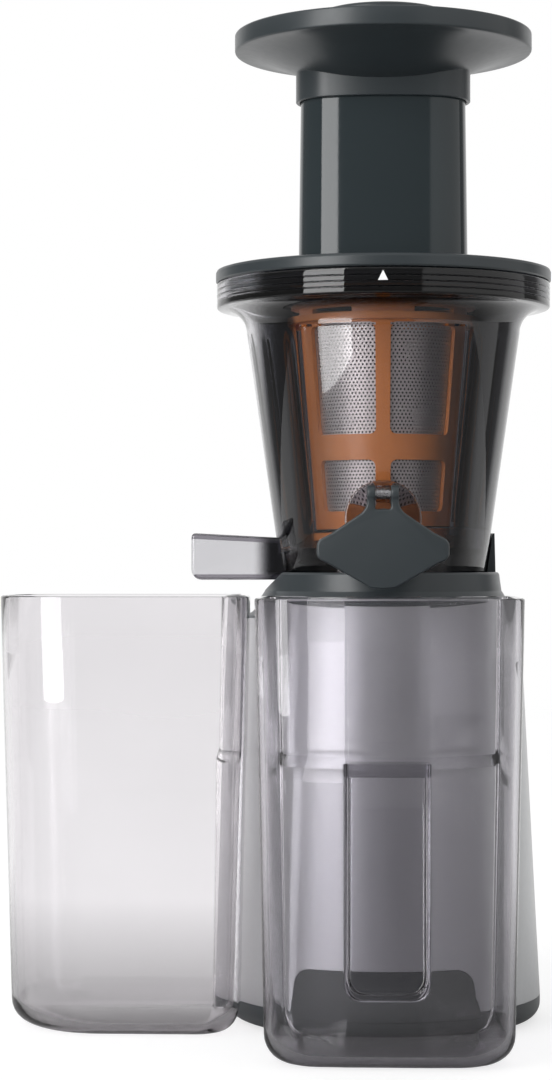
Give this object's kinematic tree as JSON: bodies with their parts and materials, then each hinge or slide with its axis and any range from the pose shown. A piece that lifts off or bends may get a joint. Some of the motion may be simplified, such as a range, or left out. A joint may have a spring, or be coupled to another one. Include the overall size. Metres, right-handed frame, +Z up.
{
  "type": "slow juicer",
  "caption": "Upright slow juicer: tapered silver power unit, smoky bowl with strainer and auger, hinged juice tap, oval feed tube with round tray and pusher, and two jugs.",
  "frame": {"origin": "on the drive axis, at the surface that the juicer stands on", "axes": "+Z up along the drive axis, -Y to the front where the juice tap and juice jug are, -X to the pulp jug"},
  "size_m": [0.2158, 0.1908, 0.4004],
  "materials": {
    "rubber_black": "matt moulded rubber",
    "plastic_base": "fine-textured dark grey plastic",
    "silver_body": "satin silver, very smooth",
    "plastic_charcoal": "satin charcoal grey plastic with a soft sheen",
    "switch_black": "gloss black plastic",
    "smoke_bowl": "polished smoky transparent plastic",
    "smoke_jug": "polished light smoke transparent plastic",
    "clear_jug": "polished very light smoke transparent plastic",
    "orange_plastic": "smooth amber orange plastic",
    "screen_steel": "perforated stainless steel sheet",
    "steel": "turned and ground steel",
    "silicone_grey": "soft grey silicone",
    "gear_white": "natural acetal",
    "gear_nylon": "natural nylon",
    "die_cast": "as-cast aluminium",
    "motor_steel": "zinc-plated pressed steel",
    "laminate": "varnished laminations and windings",
    "board_green": "green circuit board",
    "mark_white": "printed white",
    "auger_dark": "dark glass-filled plastic"
  },
  "bodies": {
    "power_unit": {"foot_ring": "rubber_black", "base_plate": "plastic_base", "base_skirt": "plastic_base", "base_screws": "steel", "body_shell": "silver_body", "collar": "plastic_charcoal", "spindle_seal": "rubber_black", "cord_gland": "rubber_black", "control_board": "board_green", "switch_bezel": "switch_black", "motor_frame": "die_cast", "motor_can": "motor_steel", "motor_stator": "laminate", "gearbox_cover": "plastic_base", "gearbox_screws": "steel", "lower_bearing": "steel", "upper_bearing": "steel"},
    "switch": {"switch_rocker": "switch_black"},
    "rotor": {"motor_rotor": "steel", "motor_fan": "gear_white"},
    "layshaft": {"layshaft": "gear_nylon"},
    "spindle": {"output_wheel": "gear_nylon", "drive_spindle": "steel"},
    "bowl": {"juice_bowl": "smoke_bowl", "pulp_spout": "smoke_bowl", "juice_outlet": "smoke_bowl", "alignment_mark": "mark_white", "bowl_seal": "silicone_grey", "idler_pins": "steel", "strainer_frame": "orange_plastic", "strainer_screen": "screen_steel"},
    "tap": {"tap_cap": "plastic_charcoal", "tap_seal": "silicone_grey", "tap_pin": "steel"},
    "auger": {"auger": "auger_dark", "auger_gear": "auger_dark", "auger_socket": "steel"},
    "idler_left": {"idler_gear_left": "gear_white"},
    "idler_right": {"idler_gear_right": "gear_white"},
    "wiper": {"wiper_carrier": "orange_plastic", "wiper_blades": "silicone_grey"},
    "lid": {"lid": "plastic_charcoal", "feed_tube": "plastic_charcoal", "lid_seal": "silicone_grey"},
    "tray": {"food_tray": "plastic_charcoal"},
    "pusher": {"pusher_body": "plastic_charcoal", "pusher_cap": "plastic_charcoal"},
    "juice_jug": {"juice_jug": "smoke_jug"},
    "pulp_jug": {"pulp_jug": "clear_jug"}
  },
  "joints": [
    {"name": "switch_tilt", "type": "hinge", "parent": "power_unit", "child": "switch", "pos_m": [0, 0.05911, 0.04392], "axis": [1, 0, 0], "range_deg": [-12, 12]},
    {"name": "rotor_spin", "type": "hinge", "parent": "power_unit", "child": "rotor", "pos_m": [0, 0, 0.05], "axis": [0, 0, 1], "continuous": true},
    {"name": "layshaft_spin", "type": "hinge", "parent": "power_unit", "child": "layshaft", "pos_m": [0, 0.027, 0.1], "axis": [0, 0, 1], "continuous": true},
    {"name": "spindle_spin", "type": "hinge", "parent": "power_unit", "child": "spindle", "pos_m": [0, 0, 0.12], "axis": [0, 0, 1], "continuous": true},
    {"name": "bowl_lift", "type": "slide", "parent": "power_unit", "child": "bowl", "axis": [0, 0, 1], "range_m": [0, 0.06]},
    {"name": "tap_hinge", "type": "hinge", "parent": "bowl", "child": "tap", "pos_m": [0, -0.0666, 0.2066], "axis": [-1, 0, 0], "range_deg": [0, 95]},
    {"name": "auger_spin", "type": "hinge", "parent": "bowl", "child": "auger", "pos_m": [0, 0, 0.2], "axis": [0, 0, 1], "continuous": true},
    {"name": "idler_left_spin", "type": "hinge", "parent": "bowl", "child": "idler_left", "pos_m": [0.01045, -0.01705, 0.19], "axis": [0, 0, 1], "continuous": true},
    {"name": "idler_right_spin", "type": "hinge", "parent": "bowl", "child": "idler_right", "pos_m": [0.01045, 0.01705, 0.19], "axis": [0, 0, 1], "continuous": true},
    {"name": "wiper_spin", "type": "hinge", "parent": "bowl", "child": "wiper", "pos_m": [0, 0, 0.2], "axis": [0, 0, 1], "continuous": true},
    {"name": "lid_lift", "type": "slide", "parent": "bowl", "child": "lid", "axis": [0, 0, 1], "range_m": [0, 0.05]},
    {"name": "tray_lift", "type": "slide", "parent": "lid", "child": "tray", "axis": [0, 0, 1], "range_m": [0, 0.03]},
    {"name": "pusher_slide", "type": "slide", "parent": "tray", "child": "pusher", "axis": [0, 0, 1], "range_m": [0, 0.08]},
    {"name": "juice_jug_pull", "type": "slide", "parent": "power_unit", "child": "juice_jug", "axis": [0, -1, 0], "range_m": [0, 0.08]},
    {"name": "pulp_jug_pull", "type": "slide", "parent": "power_unit", "child": "pulp_jug", "axis": [-1, 0, 0], "range_m": [0, 0.08]}
  ],
  "couplings": [
    {"joint": "spindle_spin", "follows": "auger_spin", "ratio": 1},
    {"joint": "layshaft_spin", "follows": "auger_spin", "ratio": -2.8571},
    {"joint": "rotor_spin", "follows": "auger_spin", "ratio": 8.1633},
    {"joint": "idler_left_spin", "follows": "auger_spin", "ratio": -1},
    {"joint": "idler_right_spin", "follows": "auger_spin", "ratio": -1},
    {"joint": "wiper_spin", "follows": "auger_spin", "ratio": -0.33333}
  ]
}
